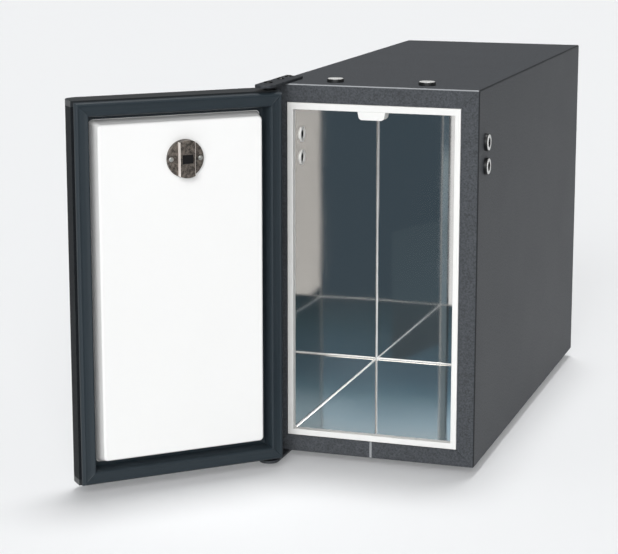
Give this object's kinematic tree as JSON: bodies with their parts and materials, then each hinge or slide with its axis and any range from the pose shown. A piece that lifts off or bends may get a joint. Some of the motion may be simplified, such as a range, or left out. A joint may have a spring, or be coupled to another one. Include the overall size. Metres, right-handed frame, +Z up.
{
  "type": "milk fridge",
  "caption": "Narrow deep counter-top milk fridge with a hinged insulated door, mirror-polished cavity, hose ports in its sides and a compressor cooling unit behind.",
  "frame": {"origin": "middle of the casing's footprint, on the floor that the feet stand on", "axes": "+Z up, -Y out of the open front, +X to the right of someone facing the front"},
  "size_m": [0.3877, 0.7429, 0.4146],
  "materials": {
    "casing_paint": "satin",
    "rear_paint": "satin",
    "zinc_screw": "satin",
    "rigid_foam": "matte",
    "liner_steel": "polished",
    "frame_white": "satin",
    "zinc_sheet": "satin",
    "bare_aluminium": "satin",
    "black_plastic": "matte",
    "ring_grey": "satin",
    "hinge_steel": "satin",
    "black_rubber": "matte",
    "compressor_paint": "satin",
    "copper_tube": "satin",
    "contact_brass": "satin",
    "door_paint": "satin",
    "cap_grey": "satin",
    "door_white": "gloss",
    "gasket_grey": "matte",
    "magnet_strip": "matte",
    "bush_nylon": "satin",
    "dial_metal": "satin",
    "window_black": "gloss"
  },
  "bodies": {
    "cabinet": {"outer_casing": "casing_paint", "rear_panel": "rear_paint", "panel_screws": "zinc_screw", "foam_left": "rigid_foam", "foam_right": "rigid_foam", "foam_top": "rigid_foam", "foam_floor": "rigid_foam", "foam_rear": "rigid_foam", "inner_liner": "liner_steel", "front_frame": "frame_white", "sensor_cover": "frame_white", "bulkhead": "zinc_sheet", "evaporator": "bare_aluminium", "port_sleeves": "black_plastic", "port_rings": "ring_grey", "liner_rings": "frame_white", "top_plugs": "black_plastic", "plug_discs": "ring_grey", "upper_hinge_plate": "hinge_steel", "lower_hinge_plate": "hinge_steel", "upper_hinge_pin": "zinc_screw", "lower_hinge_pin": "zinc_screw", "hinge_screws": "zinc_screw", "feet": "black_rubber", "compressor_shell": "compressor_paint", "compressor_plate": "compressor_paint", "compressor_mounts": "black_rubber", "terminal_cover": "black_plastic", "condenser": "bare_aluminium", "fan_shroud": "zinc_sheet", "fan_bracket": "zinc_sheet", "fan_motor": "compressor_paint", "filter_drier": "copper_tube", "suction_pipe": "copper_tube", "discharge_pipe": "copper_tube", "liquid_pipe": "copper_tube", "capillary_pipe": "copper_tube", "control_box": "black_plastic", "mains_inlet": "black_plastic", "inlet_pins": "contact_brass", "switch_housing": "black_plastic"},
    "door": {"door_skin": "door_paint", "door_top_cap": "cap_grey", "door_bottom_cap": "cap_grey", "door_foam": "rigid_foam", "door_liner": "door_white", "door_gasket": "gasket_grey", "gasket_magnets": "magnet_strip", "upper_bush": "bush_nylon", "lower_bush": "bush_nylon", "dial_base": "dial_metal", "dial_bridge": "dial_metal", "dial_window": "window_black", "dial_screws": "zinc_screw"},
    "fan": {"fan_rotor": "black_plastic"},
    "rocker": {"switch_rocker": "black_plastic"}
  },
  "joints": [
    {"name": "door_hinge", "type": "hinge", "parent": "cabinet", "child": "door", "pos_m": [-0.1059, -0.2973, 0.2], "axis": [0, 0, -1], "range_deg": [-136.3, 33.7]},
    {"name": "fan_spin", "type": "hinge", "parent": "cabinet", "child": "fan", "pos_m": [0, 0.178, 0.29], "axis": [0, 1, 0], "continuous": true},
    {"name": "switch_rock", "type": "hinge", "parent": "cabinet", "child": "rocker", "pos_m": [0.01, 0.2737, 0.05], "axis": [0, 0, -1], "range_deg": [0, 16]}
  ]
}
